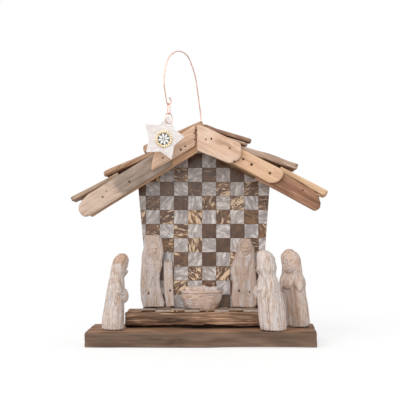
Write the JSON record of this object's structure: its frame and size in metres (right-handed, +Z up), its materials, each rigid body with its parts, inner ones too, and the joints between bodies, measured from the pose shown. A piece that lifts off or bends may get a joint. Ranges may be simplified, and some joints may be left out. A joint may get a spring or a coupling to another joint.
{
  "type": "nativity_stable",
  "caption": "Small driftwood nativity stable with a shell mosaic wall, carved whitewashed figures, a manger and a pale star hung from a copper wire over the gable",
  "frame": {"origin": "centre of the base board's underside, on the table", "axes": "+X to the viewer's right, +Y to the back, +Z up"},
  "size_m": [0.3558, 0.1104, 0.3948],
  "materials": {
    "base_wood": "matte, weathered",
    "step_wood": "matte, cracked",
    "panel_wood": "matte, raw",
    "frame_wood": "matte, raw",
    "tan_driftwood": "matte, weathered",
    "brown_driftwood": "matte, weathered",
    "grey_driftwood": "matte, weathered",
    "whitewashed_wood": "matte, chalky",
    "brown_shell": "polished, streaked",
    "pale_shell": "pearly, polished",
    "copper_wire": "bright",
    "star_slab": "polished, translucent",
    "gilt": "bright",
    "medallion_face": "glossy",
    "fastener_steel": "dulled"
  },
  "bodies": {
    "root": {"back_panel": "panel_wood", "base_board": "base_wood", "base_screws": "fastener_steel", "deck_left": "frame_wood", "deck_right": "frame_wood", "fascia_brads_left": "fastener_steel", "fascia_brads_right": "fastener_steel", "fascia_left_lower": "grey_driftwood", "fascia_left_upper": "tan_driftwood", "fascia_right_lower": "brown_driftwood", "fascia_right_middle": "tan_driftwood", "fascia_right_upper": "tan_driftwood", "father_figure": "whitewashed_wood", "figure_brads": "fastener_steel", "floor_tiles_dark": "brown_shell", "floor_tiles_light": "pale_shell", "infant": "whitewashed_wood", "manger": "whitewashed_wood", "mother_figure": "whitewashed_wood", "panel_nails": "fastener_steel", "rafter_left": "frame_wood", "rafter_right": "frame_wood", "ridge_beam": "frame_wood", "shingle_brads_left": "fastener_steel", "shingle_brads_right": "fastener_steel", "shingle_left_1_1": "brown_driftwood", "shingle_left_1_2": "brown_driftwood", "shingle_left_1_3": "brown_driftwood", "shingle_left_2_1": "brown_driftwood", "shingle_left_2_2": "brown_driftwood", "shingle_left_2_3": "brown_driftwood", "shingle_left_3_1": "tan_driftwood", "shingle_left_3_2": "tan_driftwood", "shingle_left_3_3": "tan_driftwood", "shingle_right_1_1": "brown_driftwood", "shingle_right_1_2": "brown_driftwood", "shingle_right_1_3": "brown_driftwood", "shingle_right_2_1": "brown_driftwood", "shingle_right_2_2": "brown_driftwood", "shingle_right_2_3": "brown_driftwood", "shingle_right_3_1": "tan_driftwood", "shingle_right_3_2": "tan_driftwood", "shingle_right_3_3": "tan_driftwood", "shingle_right_ridge_1": "brown_driftwood", "shingle_right_ridge_2": "brown_driftwood", "staff": "whitewashed_wood", "step_plank": "step_wood", "wall_tiles_dark": "brown_shell", "wall_tiles_light": "pale_shell", "wire_hook": "copper_wire", "wise_man_back": "whitewashed_wood", "wise_man_front": "whitewashed_wood", "wise_man_left": "whitewashed_wood"},
    "link": {"pendant_link": "copper_wire"},
    "ring": {"pendant_ring": "copper_wire"},
    "star": {"star": "star_slab", "medallion_bezel": "gilt", "medallion_disc": "medallion_face"}
  },
  "joints": [
    {"name": "link_swing", "type": "hinge", "parent": "root", "child": "link", "pos_m": [-0.04233, -0.04725, 0.31966], "axis": [-0.6374, -0.7705, 0], "range_deg": [-8, 25]},
    {"name": "ring_swing", "type": "hinge", "parent": "link", "child": "ring", "pos_m": [-0.04233, -0.04725, 0.30701], "axis": [-0.7705, 0.6374, 0], "range_deg": [-10, 25]},
    {"name": "star_swing", "type": "hinge", "parent": "ring", "child": "star", "pos_m": [-0.04233, -0.04725, 0.29421], "axis": [-0.6374, -0.7705, 0], "range_deg": [-10, 20]}
  ]
}
